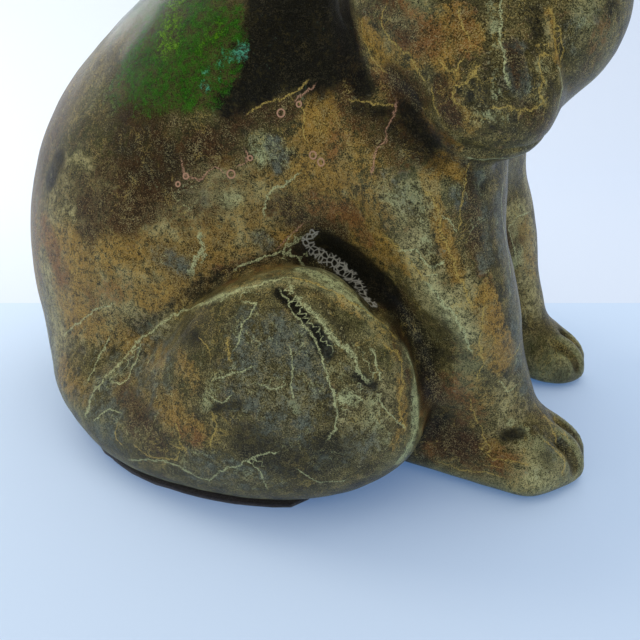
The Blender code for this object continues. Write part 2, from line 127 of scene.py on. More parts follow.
# A daub is a broad patch of one glaze along a line, and a vein a thin crawled line.
Daub = namedtuple("Daub", "glaze strength reach path")
DAUBS = [
    Daub("emerald", 0.9, 34, [(-50, -40, 246), (-70, 25, 244)]),
    Daub("emerald", 0.8, 20, [(-20, 10, 255), (-30, 45, 240)]),
    Daub("moss", 0.7, 45, [(-115, 0, 225), (-160, 25, 180)]),
    Daub("black", 0.85, 32, [(0, -30, 258), (20, 40, 240)]),
    Daub("umber", 0.6, 45, [(-150, -45, 180), (-165, 40, 150)]),
    Daub("umber", 0.5, 34, [(-60, 95, 180), (-20, 100, 170)]),
    Daub("ochre", 0.55, 44, [(-185, -30, 110), (-180, 45, 80)]),
    Daub("rust", 0.55, 30, [(-180, 30, 140), (-160, 80, 120)]),
    Daub("tan", 0.6, 46, [(-110, 95, 115), (-60, 110, 120)]),
    Daub("slate", 0.5, 34, [(-30, 150, 70), (-70, 145, 55)]),
    Daub("verdigris", 0.45, 30, [(-140, 90, 50), (-165, 60, 40)]),
    Daub("tan", 0.55, 34, [(-175, -20, 60), (-185, 20, 50)]),
    Daub("ochre", 0.5, 36, [(20, 110, 150), (60, 95, 170)]),
    Daub("rust", 0.5, 24, [(100, 80, 160), (115, 70, 120)]),
    Daub("slate", 0.55, 26, [(118, 0, 190), (125, 25, 160)]),
    Daub("tan", 0.5, 26, [(128, -25, 150), (122, 10, 120)]),
    Daub("umber", 0.6, 24, [(120, 20, 95), (125, -40, 95)]),
    Daub("rust", 0.5, 22, [(160, 10, 270), (140, 30, 265)]),
    Daub("umber", 0.65, 30, [(105, -30, 316), (90, 15, 300)]),
    Daub("ochre", 0.5, 24, [(130, -70, 300), (100, -80, 290)]),
    Daub("moss", 0.6, 28, [(70, 10, 285), (85, -20, 312)]),
    Daub("black", 0.7, 26, [(95, 25, 250), (120, 35, 240)]),
    Daub("verdigris", 0.5, 16, [(118, -90, 290), (112, -50, 318)]),
    Daub("rust", 0.6, 20, [(65, -50, 290), (80, -80, 270)]),
    Daub("moss", 0.8, 15, [(-97, -75, 203), (-110, -84, 179)]),
    Daub("moss", 0.75, 23, [(-88, -94, 176), (-49, -100, 179)]),
    Daub("moss", 0.6, 9, [(-23, -96, 195), (-18, -95, 197)]),
    Daub("moss", 0.5, 11, [(-52, -92, 199), (-27, -95, 199)]),
    Daub("moss", 0.5, 8, [(33, -94, 165), (50, -96, 167)]),
    Daub("moss", 0.55, 7, [(71, -134, 116), (87, -133, 103), (97, -133, 80)]),
    Daub("moss", 0.5, 10, [(81, -95, 223), (97, -102, 214)]),
    Daub("moss", 0.45, 11, [(164, -82, 241), (158, -84, 220)]),
    Daub("moss", 0.5, 10, [(-59, -126, 71), (-24, -147, 74)]),
    Daub("moss", 0.6, 13, [(165, 42, 28), (187, 46, 18)]),
    Daub("moss", 0.5, 10, [(143, 45, 76), (152, 47, 54)]),
    Daub("tan", 0.85, 14, [(-16, -104, 161), (8, -100, 154)]),
    Daub("tan", 0.55, 12, [(-46, -113, 142), (-15, -107, 149)]),
    Daub("tan", 0.6, 10, [(-4, -108, 135), (10, -105, 131)]),
    Daub("tan", 0.6, 12, [(-120, -103, 91), (-121, -109, 57)]),
    Daub("tan", 0.8, 7, [(136, 67, 151), (142, 70, 130)]),
    Daub("tan", 0.5, 10, [(-66, -120, 99), (-90, -118, 76)]),
    Daub("tan", 0.6, 6, [(59, -99, 181), (62, -101, 167)]),
    Daub("tan", 0.5, 7, [(2, -98, 172), (-6, -101, 167)]),
    Daub("tan", 0.4, 8, [(31, -160, 82), (56, -158, 78)]),
    Daub("tan", 0.5, 6, [(120, -114, 121), (128, -112, 105)]),
    Daub("tan", 0.5, 8, [(131, 41, 122), (146, 60, 105)]),
    Daub("tan", 0.35, 6, [(167, -78, 244), (172, -65, 227)]),
    Daub("ochre", 0.95, 8, [(44, -90, 207), (43, -93, 193)]),
    Daub("ochre", 0.6, 5, [(-13, -99, 182), (-6, -99, 177)]),
    Daub("ochre", 0.6, 7, [(35, -94, 173), (52, -97, 170)]),
    Daub("ochre", 0.5, 15, [(-68, -114, 131), (-17, -111, 136)]),
    Daub("ochre", 0.85, 3, [(19, -99, 136), (27, -95, 137), (32, -93, 143)]),
    Daub("ochre", 0.5, 20, [(-96, -111, 115), (-45, -119, 115)]),
    Daub("ochre", 0.5, 12, [(-104, -112, 81), (-74, -121, 76)]),
    Daub("ochre", 0.5, 10, [(-113, -120, 46), (-87, -138, 43)]),
    Daub("ochre", 0.55, 8, [(-46, -120, 101), (-16, -117, 113)]),
    Daub("ochre", 0.6, 9, [(-56, -125, 74), (-31, -139, 76)]),
    Daub("ochre", 0.55, 7, [(-20, -157, 57), (4, -164, 54)]),
    Daub("ochre", 0.4, 6, [(-14, -148, 83), (-1, -156, 77)]),
    Daub("ochre", 0.5, 4, [(67, -131, 120), (82, -128, 112), (94, -128, 95)]),
    Daub("ochre", 0.55, 4, [(98, -130, 82), (101, -133, 58), (98, -137, 48)]),
    Daub("ochre", 0.85, 4, [
        (102, -110, 180), (106, -112, 166), (113, -111, 147), (120, -111, 132),
    ]),
    Daub("ochre", 0.85, 5, [(107, -106, 185), (117, -104, 180)]),
    Daub("ochre", 0.85, 8, [(134, -105, 119), (140, -102, 100), (146, -93, 87)]),
    Daub("ochre", 0.6, 5, [(143, -97, 79), (132, -109, 94)]),
    Daub("ochre", 0.7, 5, [(74, -104, 148), (89, -111, 138), (102, -115, 131)]),
    Daub("ochre", 0.4, 6, [(130, -107, 75), (137, -98, 58)]),
    Daub("ochre", 0.5, 6, [(141, -95, 30), (149, -98, 23)]),
    Daub("ochre", 0.4, 7, [(133, -98, 13), (161, -101, 13)]),
    Daub("ochre", 0.45, 5, [(179, -83, 26), (184, -85, 16)]),
    Daub("ochre", 0.9, 5, [(65, -90, 240), (74, -94, 231)]),
    Daub("ochre", 0.7, 6, [(108, -103, 247), (117, -106, 237)]),
    Daub("ochre", 0.6, 5, [(103, -106, 229), (110, -110, 223)]),
    Daub("ochre", 0.7, 3, [(69, -89, 226), (85, -93, 210), (101, -102, 199), (114, -106, 192)]),
    Daub("ochre", 0.75, 2, [(146, -92, 249), (149, -94, 238), (152, -95, 228)]),
    Daub("ochre", 0.5, 5, [(109, -112, 213), (120, -114, 203)]),
    Daub("ochre", 0.5, 9, [(141, 53, 113), (149, 56, 81)]),
    Daub("rust", 0.85, 10, [(-132, -92, 125), (-114, -105, 103)]),
    Daub("rust", 0.6, 8, [(-30, -101, 177), (-17, -99, 181)]),
    Daub("rust", 0.6, 8, [(53, -96, 185), (57, -94, 199)]),
    Daub("rust", 0.6, 8, [(41, -93, 155), (59, -97, 153)]),
    Daub("rust", 0.8, 6, [(62, -99, 155), (71, -101, 143)]),
    Daub("rust", 0.5, 10, [(1, -114, 119), (30, -100, 125)]),
    Daub("rust", 0.6, 6, [(-10, -162, 50), (1, -164, 48)]),
    Daub("rust", 0.7, 10, [(108, -111, 58), (115, -95, 25)]),
    Daub("rust", 0.5, 9, [(122, -107, 71), (131, -96, 45)]),
    Daub("rust", 0.7, 9, [(81, -100, 246), (97, -104, 236)]),
    Daub("rust", 0.6, 6, [(111, -103, 245), (116, -107, 235)]),
    Daub("rust", 0.55, 4, [(75, -90, 218), (94, -98, 204), (110, -106, 195)]),
    Daub("rust", 0.4, 7, [(168, -77, 240), (169, -72, 228)]),
    Daub("rust", 0.5, 7, [(132, -97, 23), (159, -98, 23)]),
    Daub("rust", 0.45, 8, [(-85, -116, 95), (-62, -119, 108)]),
    Daub("rust", 0.5, 5, [(127, -102, 143), (132, -102, 131)]),
    Daub("verdigris", 0.7, 4, [(-69, -136, 55), (-56, -133, 63)]),
    Daub("verdigris", 0.6, 6, [(9, -94, 187), (13, -95, 177)]),
    Daub("verdigris", 0.5, 5, [(-5, -103, 157), (14, -98, 158)]),
    Daub("verdigris", 0.85, 4, [
        (41, -117, 129), (54, -121, 128), (69, -126, 122), (82, -125, 113),
    ]),
    Daub("verdigris", 0.6, 5, [(13, -158, 82), (8, -161, 70)]),
    Daub("verdigris", 0.95, 2, [(52, -160, 76), (55, -160, 72)]),
    Daub("verdigris", 0.6, 3, [(76, -151, 80), (81, -149, 77)]),
    Daub("verdigris", 1.0, 4, [(101, -117, 84), (105, -122, 67), (106, -125, 48), (101, -129, 34)]),
    Daub("verdigris", 0.5, 4, [(57, -142, 114), (69, -145, 104)]),
    Daub("verdigris", 0.6, 3, [(151, -88, 43), (160, -84, 39)]),
    Daub("verdigris", 0.5, 6, [(134, 41, 109), (139, 43, 90)]),
    Daub("verdigris", 0.5, 3, [
        (122, -100, 252), (126, -104, 241), (127, -111, 229), (130, -115, 217),
    ]),
    Daub("verdigris", 0.5, 4, [(123, -114, 205), (132, -114, 206)]),
    Daub("verdigris", 0.5, 4, [(103, -114, 147), (111, -113, 139)]),
    Daub("verdigris", 0.4, 10, [(85, -111, 173), (100, -113, 161)]),
    Daub("verdigris", 0.35, 4, [(146, -103, 227), (149, -104, 213)]),
    Daub("verdigris", 0.35, 6, [(91, -141, 78), (94, -142, 53)]),
    Daub("slate", 0.75, 5, [(19, -93, 185), (22, -94, 175)]),
    Daub("slate", 0.6, 8, [(-39, -116, 127), (-26, -116, 122)]),
    Daub("slate", 0.5, 8, [(-27, -106, 161), (-21, -106, 157)]),
    Daub("slate", 0.7, 5, [(14, -101, 137), (18, -100, 134)]),
    Daub("slate", 0.55, 18, [(31, -160, 82), (52, -153, 96), (49, -162, 67)]),
    Daub("slate", 0.5, 13, [(24, -149, 106), (53, -149, 105)]),
    Daub("slate", 0.6, 8, [(-66, -150, 32), (-55, -146, 49)]),
    Daub("slate", 0.6, 4, [(115, -108, 172), (119, -106, 165)]),
    Daub("slate", 0.7, 6, [(123, -100, 176), (127, -100, 150), (131, -100, 137)]),
    Daub("slate", 0.6, 5, [(133, -86, 164), (139, -86, 134), (148, -86, 97), (156, -79, 59)]),
    Daub("slate", 0.85, 5, [(134, -106, 234), (137, -110, 226), (140, -111, 219)]),
    Daub("slate", 0.4, 8, [(85, -111, 175), (97, -114, 168)]),
    Daub("slate", 0.4, 7, [(173, -92, 24), (170, -96, 22)]),
    Daub("slate", 0.5, 10, [(70, -156, 46), (88, -147, 55)]),
    Daub("slate", 0.5, 4, [(77, -147, 92), (87, -143, 82)]),
    Daub("slate", 0.45, 7, [(158, -86, 239), (163, -82, 247)]),
    Daub("umber", 0.6, 13, [(-87, -108, 139), (-56, -109, 151)]),
    Daub("umber", 0.5, 14, [(-64, -94, 188), (-36, -104, 168)]),
    Daub("umber", 0.65, 9, [(-22, -99, 183), (-8, -97, 188)]),
    Daub("umber", 0.6, 8, [(1, -93, 197), (24, -89, 203)]),
    Daub("umber", 0.65, 9, [(24, -95, 153), (27, -94, 151)]),
    Daub("umber", 0.6, 7, [(35, -92, 144), (55, -93, 141)]),
    Daub("umber", 0.6, 9, [(88, -104, 113), (96, -121, 96)]),
    Daub("umber", 0.6, 11, [(97, -118, 95), (107, -109, 66)]),
    Daub("umber", 0.5, 11, [(114, -92, 33), (132, -96, 26)]),
    Daub("umber", 0.4, 10, [(110, -106, 59), (126, -95, 30)]),
    # This umber daub along the back edge of the head is partly dark glaze and partly painted shadow
    # beside the cheek.
    Daub("umber", 0.9, 8, [(51, -75, 248), (58, -87, 219)]),
    Daub("umber", 0.7, 6, [(81, -94, 221), (97, -101, 211)]),
    Daub("umber", 0.75, 6, [(105, -108, 218), (111, -112, 205)]),
    Daub("umber", 0.5, 6, [(140, -110, 210), (151, -97, 200)]),
    Daub("umber", 0.4, 9, [(122, -96, 20), (147, -99, 13)]),
    Daub("umber", 0.5, 9, [(178, 40, 11), (187, 45, 13)]),
    Daub("umber", 0.4, 8, [(168, -86, 33), (186, -82, 16)]),
    Daub("umber", 0.5, 6, [(121, -103, 174), (125, -103, 148)]),
    Daub("umber", 0.5, 7, [(168, -72, 227), (163, -74, 219)]),
    Daub("umber", 0.55, 7, [(76, -97, 250), (84, -101, 240)]),
    Daub("umber", 0.35, 4, [(-6, -119, 114), (27, -123, 127)]),
    Daub("umber", 0.4, 8, [(-40, -155, 43), (-22, -161, 38)]),
    Daub("umber", 0.5, 8, [(-52, -144, 53), (-30, -157, 49)]),
    # These three black daubs on the neck behind the head are partly its dark glaze and partly
    # painted shadow under the head.
    Daub("black", 1.0, 23, [(18, -63, 255), (36, -77, 232)]),
    Daub("black", 1.0, 16, [(9, -81, 229), (40, -82, 225)]),
    Daub("black", 0.9, 9, [(11, -87, 212), (-6, -92, 205)]),
    Daub("black", 0.75, 8, [(-129, -85, 154), (-122, -84, 166)]),
    Daub("black", 0.4, 17, [(-67, -96, 183), (-42, -103, 172)]),
    # These three black daubs along the knee crevice are partly its dark glaze and partly painted
    # shade in the crease.
    Daub("black", 1.0, 9, [(52, -91, 131), (68, -97, 125), (82, -103, 116)]),
    Daub("black", 0.5, 7, [(88, -104, 112), (95, -116, 99)]),
    Daub("black", 0.7, 8, [(43, -91, 136), (33, -94, 130)]),
    Daub("umber", 0.45, 6, [(96, -118, 98), (100, -123, 84)]),
    Daub("black", 0.4, 6, [(-13, -141, 93), (-6, -146, 93)]),
    Daub("black", 0.55, 13, [(32, -165, 53), (56, -161, 42), (73, -156, 52)]),
    Daub("black", 1.0, 3, [(37, -136, 123), (44, -139, 120), (53, -143, 114)]),
    Daub("black", 1.0, 4, [(59, -145, 109), (66, -148, 100)]),
    Daub("black", 0.7, 3, [(80, -146, 89), (88, -142, 83)]),
    Daub("black", 0.75, 4, [(150, -91, 36), (157, -87, 37)]),
    Daub("black", 0.6, 3, [(141, -95, 248), (143, -98, 239)]),
    Daub("black", 0.6, 2, [(119, -113, 216), (119, -111, 211)]),
    Daub("black", 0.7, 2, [(129, -114, 202), (130, -114, 202)]),
    # Painted shadow: these four black and umber daubs darken the throat under the jaw.
    Daub("black", 0.6, 11, [(84, -97, 202), (96, -103, 194), (104, -104, 190)]),
    Daub("black", 0.6, 4, [(84, -94, 206), (93, -99, 200), (102, -103, 194)]),
    Daub("umber", 0.6, 11, [(78, -99, 197), (93, -107, 188)]),
    Daub("black", 0.6, 4, [(63, -93, 205), (74, -95, 205)]),
    Daub("black", 0.4, 3, [(125, -114, 224), (125, -114, 216)]),
    Daub("black", 0.5, 6, [(120, -101, 183), (125, -99, 173)]),
    Daub("umber", 0.5, 6, [(118, -94, 28), (131, -96, 28)]),
    Daub("black", 0.35, 5, [(134, -96, 6), (151, -99, 7)]),
    Daub("black", 0.5, 9, [(178, 40, 9), (190, 48, 8)]),
    Daub("black", 0.5, 5, [(172, -91, 26), (174, -93, 23)]),
    Daub("black", 0.4, 7, [(-62, -151, 23), (-38, -158, 26)]),
    Daub("black", 0.6, 3, [(12, -162, 67), (26, -162, 72)]),
    Daub("emerald", 1.0, 29, [(-45, -66, 249), (-36, -81, 231)]),
    Daub("emerald", 0.95, 20, [(-64, -78, 222), (-41, -86, 218)]),
    Daub("emerald", 0.9, 11, [(-12, -75, 243), (-9, -86, 224)]),
    Daub("emerald", 0.8, 11, [(-28, -91, 209), (-15, -91, 211)]),
    Daub("emerald", 0.6, 13, [(-79, -82, 205), (-52, -90, 204)]),
    Daub("lime", 0.75, 9, [(-49, -65, 249), (-46, -79, 231)]),
    Daub("lime", 0.5, 7, [(-21, -84, 227), (-18, -78, 238)]),
    Daub("teal", 0.8, 4, [(-2, -82, 229), (-1, -83, 227)]),
    Daub("teal", 0.8, 3, [(-20, -91, 212), (-19, -91, 211)]),
    Daub("teal", 0.5, 7, [(-9, -83, 228), (-15, -87, 220)]),
    Daub("tan", 0.5, 10, [(91, -113, 160), (108, -114, 119)]),
    Daub("tan", 0.5, 7, [(126, -110, 125), (132, -109, 105)]),
    Daub("tan", 0.45, 9, [(145, -94, 62), (156, -84, 48)]),
    Daub("tan", 0.5, 8, [(164, -95, 26), (176, -94, 15)]),
    Daub("tan", 0.6, 13, [(140, 55, 120), (154, 52, 60)]),
    Daub("tan", 0.4, 15, [(91, -142, 75), (84, -150, 56)]),
    Daub("verdigris", 0.2, 6, [(95, -112, 177), (89, -113, 152)]),
    Daub("verdigris", 0.35, 13, [(73, -150, 88), (83, -149, 67)]),
    Daub("ochre", 0.6, 19, [(-115, -103, 117), (-108, -109, 89)]),
    Daub("ochre", 0.5, 7, [(61, -95, 139), (79, -103, 132)]),
    Daub("ochre", 0.5, 11, [(82, -99, 230), (103, -104, 239)]),
    Daub("moss", 0.6, 10, [(80, -105, 188), (96, -111, 179)]),
    # These two daubs along the back edge of the head and under the cheek are partly dark glaze and
    # partly painted shadow.
    Daub("black", 0.85, 6, [(51, -76, 248), (57, -84, 226), (65, -90, 214)]),
    Daub("umber", 0.6, 7, [(53, -90, 210), (65, -95, 201)]),
    Daub("tan", 0.6, 7, [(116, -111, 139), (126, -111, 120)]),
    Daub("verdigris", 0.5, 6, [(158, -90, 34), (171, -86, 31)]),
    Daub("tan", 0.4, 12, [(145, -93, 58), (170, -96, 21)]),
    Daub("rust", 0.6, 5, [(71, -89, 222), (84, -93, 209)]),
    Daub("moss", 0.6, 15, [(-95, -96, 168), (-63, -99, 178)]),
    Daub("umber", 0.5, 15, [(-89, -102, 155), (-47, -107, 160)]),
    Daub("slate", 0.5, 14, [(2, -164, 29), (36, -164, 33)]),
    Daub("ochre", 0.4, 11, [(-57, -142, 54), (-17, -156, 63)]),
    Daub("moss", 0.5, 12, [(-12, -153, 74), (17, -138, 117)]),
    Daub("black", 0.4, 8, [(-4, -143, 99), (20, -145, 110)]),
    Daub("tan", 0.5, 5, [(105, -115, 68), (108, -115, 49)]),
    Daub("verdigris", 0.4, 7, [(14, -94, 182), (26, -93, 180)]),
    Daub("tan", 0.5, 12, [(9, -98, 161), (26, -94, 152)]),
    Daub("tan", 0.6, 9, [(135, 46, 123), (143, 49, 97)]),
    Daub("verdigris", 0.45, 8, [(136, 48, 121), (142, 49, 100)]),
    Daub("umber", 0.6, 4, [(134, -106, 234), (139, -111, 221)]),
    Daub("black", 0.35, 3, [(135, -108, 231), (138, -111, 223)]),
    Daub("tan", 0.4, 8, [(122, -96, 23), (133, -98, 17)]),
    Daub("slate", 0.5, 8, [(171, -84, 33), (183, -82, 24)]),
]

Vein = namedtuple("Vein", "glaze width path")
VEINS = [
    Vein("pale", 1.3, [
        (-81, -144, 34), (-79, -141, 43), (-75, -138, 50), (-68, -132, 59), (-61, -129, 66),
        (-54, -125, 75), (-45, -123, 83), (-36, -122, 90), (-26, -122, 97), (-10, -129, 106),
        (1, -133, 112), (11, -134, 117), (20, -133, 121), (27, -132, 124), (35, -129, 126),
        (40, -128, 127),
    ]),
    Vein("pale", 0.8, [
        (-65, -137, 55), (-59, -139, 56), (-54, -137, 60), (-54, -132, 65), (-51, -127, 72),
    ]),
    Vein("pale", 0.8, [
        (-47, -155, 18), (-31, -160, 25), (-20, -162, 28), (-11, -163, 27), (-2, -163, 23),
        (6, -162, 21), (13, -165, 31), (23, -165, 37), (34, -165, 45), (45, -164, 50),
    ]),
    Vein("pale", 0.8, [
        (38, -135, 123), (43, -139, 120), (48, -143, 115), (56, -146, 109), (61, -148, 103),
        (64, -150, 97), (68, -152, 88), (71, -153, 81), (73, -154, 73), (73, -155, 63),
        (70, -157, 59),
    ]),
    Vein("pale", 1.5, [
        (42, -132, 125), (49, -138, 121), (56, -141, 116), (61, -142, 113), (66, -144, 107),
        (71, -144, 103), (76, -142, 103),
    ]),
    Vein("pale", 1.6, [(76, -143, 101), (80, -144, 95), (83, -145, 88), (85, -143, 86)]),
    Vein("pale", 1.1, [(85, -137, 99), (88, -138, 94), (90, -139, 86)]),
    Vein("pale", 1.0, [(74, -152, 80), (78, -151, 77), (81, -148, 79), (83, -147, 77)]),
    Vein("pale", 0.8, [(91, -142, 75), (95, -139, 68), (98, -136, 63), (102, -132, 56)]),
    Vein("pale", 1.1, [
        (98, -120, 93), (102, -119, 82), (104, -119, 71), (106, -121, 61), (106, -124, 50),
        (104, -128, 40), (99, -131, 34),
    ]),
    Vein("pale", 0.8, [
        (20, -139, 117), (26, -141, 117), (25, -145, 112), (22, -147, 108), (22, -151, 101),
        (20, -152, 98),
    ]),
    Vein("pale", 0.6, [(36, -159, 83), (42, -159, 82), (48, -158, 84)]),
    Vein("pale", 0.6, [(49, -152, 101), (51, -155, 93), (51, -158, 85), (53, -159, 79)]),
    Vein("pale", 0.6, [(9, -160, 73), (16, -162, 71), (20, -161, 74)]),
    Vein("pale", 0.7, [(11, -158, 81), (17, -158, 84), (24, -158, 87), (30, -157, 90)]),
    Vein("pale", 0.6, [(-72, -147, 35), (-63, -147, 44), (-53, -150, 45)]),
    Vein("pale", 0.6, [(31, -165, 42), (37, -164, 35), (37, -160, 24)]),
    Vein("pale", 0.6, [(56, -161, 39), (65, -155, 30), (76, -149, 30)]),
    Vein("pale", 0.8, [(-115, -110, 65), (-99, -114, 78), (-85, -117, 89), (-72, -119, 95)]),
    Vein("pale", 0.7, [(-85, -133, 51), (-80, -124, 66), (-75, -122, 74)]),
    Vein("pale", 2.2, [(-16, -110, 140), (-16, -112, 132), (-19, -114, 125), (-22, -116, 119)]),
    Vein("pale", 1.0, [
        (15, -98, 150), (15, -97, 157), (19, -96, 162), (25, -94, 166), (32, -94, 171),
    ]),
    Vein("pale", 0.8, [
        (28, -95, 137), (25, -97, 130), (19, -102, 128), (11, -107, 126), (3, -111, 122),
    ]),
    Vein("pale", 1.0, [
        (33, -93, 137), (26, -97, 130), (33, -95, 127), (50, -110, 128), (67, -123, 124),
    ]),
    Vein("pale", 1.0, [
        (105, -115, 129), (110, -115, 124), (117, -115, 117), (123, -114, 108), (127, -112, 99),
        (130, -110, 93),
    ]),
    Vein("pale", 0.7, [
        (91, -112, 142), (99, -114, 144), (104, -115, 138), (109, -114, 136), (112, -113, 139),
    ]),
    Vein("pale", 0.8, [
        (134, -79, 170), (134, -81, 160), (136, -78, 149), (139, -77, 136), (143, -82, 125),
    ]),
    Vein("pale", 0.7, [
        (143, 63, 120), (136, 48, 120), (131, 40, 115), (135, 41, 106), (138, 43, 94),
    ]),
    Vein("pale", 0.8, [(144, -95, 70), (148, -90, 62), (152, -85, 64)]),
    Vein("pale", 0.7, [(116, -109, 154), (114, -110, 158), (112, -111, 160)]),
    Vein("pale", 0.9, [
        (126, -99, 252), (128, -101, 245), (128, -106, 237), (131, -108, 232), (132, -112, 226),
        (134, -113, 220),
    ]),
    Vein("pale", 0.8, [
        (120, -104, 187), (126, -102, 187), (133, -100, 186), (139, -95, 187), (143, -94, 189),
    ]),
    Vein("pale", 0.7, [(155, -91, 207), (155, -92, 212), (155, -93, 219), (153, -95, 225)]),
    Vein("ochre", 1.0, [
        (40, -128, 127), (48, -128, 127), (56, -128, 125), (65, -130, 122), (74, -129, 118),
        (82, -126, 113), (88, -123, 108), (93, -122, 101),
    ]),
    Vein("ochre", 0.9, [
        (90, -131, 100), (95, -126, 95), (98, -126, 86), (100, -130, 77), (99, -133, 71),
        (100, -133, 63), (102, -132, 56),
    ]),
    Vein("ochre", 1.4, [(11, -163, 64), (14, -164, 59), (12, -165, 53), (11, -166, 47)]),
    Vein("ochre", 1.0, [(-11, -161, 53), (-9, -163, 47), (-9, -164, 43), (-5, -164, 40)]),
    Vein("ochre", 0.7, [(-54, -152, 38), (-55, -153, 30), (-51, -155, 28)]),
    Vein("ochre", 0.8, [
        (-40, -158, 31), (-33, -159, 27), (-23, -161, 29), (-12, -163, 32), (-10, -164, 37),
    ]),
    Vein("ochre", 1.2, [(16, -150, 100), (16, -153, 95), (18, -155, 92)]),
    Vein("ochre", 0.7, [(-2, -146, 96), (3, -149, 94), (5, -151, 92)]),
    Vein("ochre", 0.7, [
        (119, -102, 183), (119, -104, 176), (118, -106, 170), (118, -107, 162), (118, -108, 155),
    ]),
    Vein("ochre", 1.0, [
        (102, -113, 172), (105, -112, 168), (108, -112, 162), (110, -112, 155), (112, -111, 149),
        (115, -111, 142), (119, -111, 134), (123, -111, 127), (127, -111, 118),
    ]),
    Vein("ochre", 0.8, [(83, -109, 148), (90, -112, 144), (97, -114, 138), (103, -115, 132)]),
    Vein("ochre", 0.8, [
        (133, -107, 115), (133, -109, 107), (133, -109, 98), (135, -106, 87), (133, -105, 76),
    ]),
    Vein("ochre", 0.7, [(145, -95, 83), (151, -83, 83), (151, -80, 86)]),
    Vein("ochre", 0.7, [(130, -102, 60), (134, -96, 45), (138, -94, 35), (143, -95, 29)]),
    Vein("ochre", 0.8, [(138, -96, 28), (145, -97, 24), (154, -97, 24), (162, -97, 24)]),
    Vein("ochre", 0.7, [(116, -96, 14), (128, -97, 12), (139, -98, 15), (150, -100, 15)]),
    Vein("ochre", 0.7, [(163, -70, 46), (170, -68, 39), (174, -75, 35), (178, -77, 30)]),
    Vein("ochre", 0.7, [(171, -70, 38), (178, -67, 35), (183, -72, 30)]),
    Vein("ochre", 0.9, [(171, -84, 33), (177, -83, 28), (183, -82, 23), (182, -87, 16)]),
    Vein("ochre", 1.0, [
        (129, -115, 211), (132, -115, 211), (136, -114, 211), (139, -111, 209), (144, -105, 209),
        (148, -104, 212), (150, -103, 211),
    ]),
    Vein("ochre", 1.0, [
        (149, -104, 212), (147, -105, 217), (148, -104, 221), (145, -104, 228), (145, -101, 232),
        (149, -98, 230),
    ]),
    Vein("ochre", 1.0, [
        (116, -114, 210), (112, -113, 214), (112, -113, 218), (116, -113, 221), (120, -113, 225),
        (122, -114, 223),
    ]),
    Vein("ochre", 0.7, [(76, -97, 249), (74, -97, 243), (78, -98, 236), (82, -100, 234)]),
    Vein("ochre", 0.8, [
        (84, -100, 232), (89, -101, 230), (92, -101, 227), (93, -101, 222), (96, -102, 220),
    ]),
    Vein("ochre", 0.7, [(63, -89, 243), (64, -89, 235), (69, -90, 228), (75, -92, 222)]),
    Vein("ochre", 0.7, [(101, -105, 216), (102, -106, 210), (104, -108, 206)]),
    Vein("ochre", 0.8, [(104, -106, 228), (108, -109, 224), (112, -111, 225), (114, -110, 229)]),
    Vein("ochre", 0.7, [(109, -102, 249), (112, -104, 242), (115, -106, 237)]),
    Vein("ochre", 0.8, [(147, -91, 249), (150, -92, 243), (149, -94, 237), (151, -94, 232)]),
    Vein("ochre", 0.7, [(152, -90, 241), (155, -90, 233), (154, -92, 226)]),
    Vein("ochre", 0.8, [(60, -91, 208), (67, -92, 208), (73, -93, 207), (79, -94, 207)]),
    Vein("ochre", 0.7, [(32, -89, 205), (36, -91, 199), (34, -92, 193), (37, -93, 187)]),
    Vein("ochre", 0.7, [
        (6, -92, 200), (12, -90, 204), (21, -88, 207), (29, -87, 210), (34, -85, 215),
    ]),
    Vein("pink", 1.0, [
        (82, -93, 208), (81, -98, 201), (79, -100, 196), (81, -103, 192), (76, -104, 189),
        (75, -105, 183), (74, -107, 178),
    ]),
    Vein("pink", 0.8, [
        (-30, -102, 175), (-27, -104, 168), (-19, -103, 166), (-12, -101, 173), (-7, -100, 171),
    ]),
    Vein("pink", 0.8, [(2, -98, 174), (7, -96, 177), (5, -96, 181)]),
    Vein("pink", 0.7, [(34, -92, 144), (28, -94, 138), (22, -98, 132)]),
    Vein("pink", 0.8, [(30, -88, 207), (34, -87, 211), (38, -86, 214)]),
]

# The raku glazes in the order they were laid. The two leans say how each one's edges follow
# the blots and the patches, and stray is how readily it turns up away from its daubs.
Glaze = namedtuple("Glaze", "name colour blot_lean patch_lean stray")
GLAZES = [
    Glaze("moss", (72, 72, 30), 1.4, 0.8, -0.1),
    Glaze("tan", (156, 146, 98), 1.6, -0.9, 0.0),
    Glaze("ochre", (150, 116, 48), -1.5, 1.0, 0.06),
    Glaze("rust", (122, 82, 38), 1.0, 1.4, 0.0),
    Glaze("verdigris", (158, 164, 118), -1.4, -1.4, -0.1),
    Glaze("slate", (88, 92, 78), 1.6, 0.9, 0.0),
    Glaze("umber", (66, 44, 22), -1.2, 1.4, 0.08),
    Glaze("black", (20, 20, 16), -1.8, -1.0, 0.04),
    Glaze("emerald", (36, 84, 8), 1.0, 0.8, -0.3),
    Glaze("lime", (84, 118, 8), 1.2, 1.0, -0.3),
    Glaze("teal", (72, 140, 112), 1.6, 1.2, -0.3),
]
BROAD_REACH = 9

# Beads of pale glaze crawled along a line, and burst blisters, each a ring of a radius.
CRAWL = [
    (40, -91, 140), (36, -92, 136), (39, -91, 130), (44, -91, 127), (51, -91, 125),
    (59, -95, 122), (68, -102, 120), (75, -110, 119), (81, -113, 115),
]
CRAWL_REACH = 2.5
BLISTERS = [
    ((22.1, -89.8, 200.4), 1.9),
    ((-2.6, -99.7, 169.8), 2.0),
    ((40.7, -94.3, 181.3), 1.8),
    ((45.3, -95.4, 178.3), 1.8),
    ((6.9, -96.0, 178.0), 1.2),
    ((-26.9, -103.6, 167.8), 1.4),
    ((31.4, -88.7, 205.0), 1.3),
    ((-31.1, -105.1, 163.6), 1.2),
]


def srgb(red, green, blue):
    """A colour given by its screen values, as Blender's linear ones."""
    screen = [channel / 255 for channel in (red, green, blue)]
    linear = [
        value / 12.92 if value <= 0.04045 else ((value + 0.055) / 1.055) ** 2.4
        for value in screen
    ]
    return (*linear, 1.0)


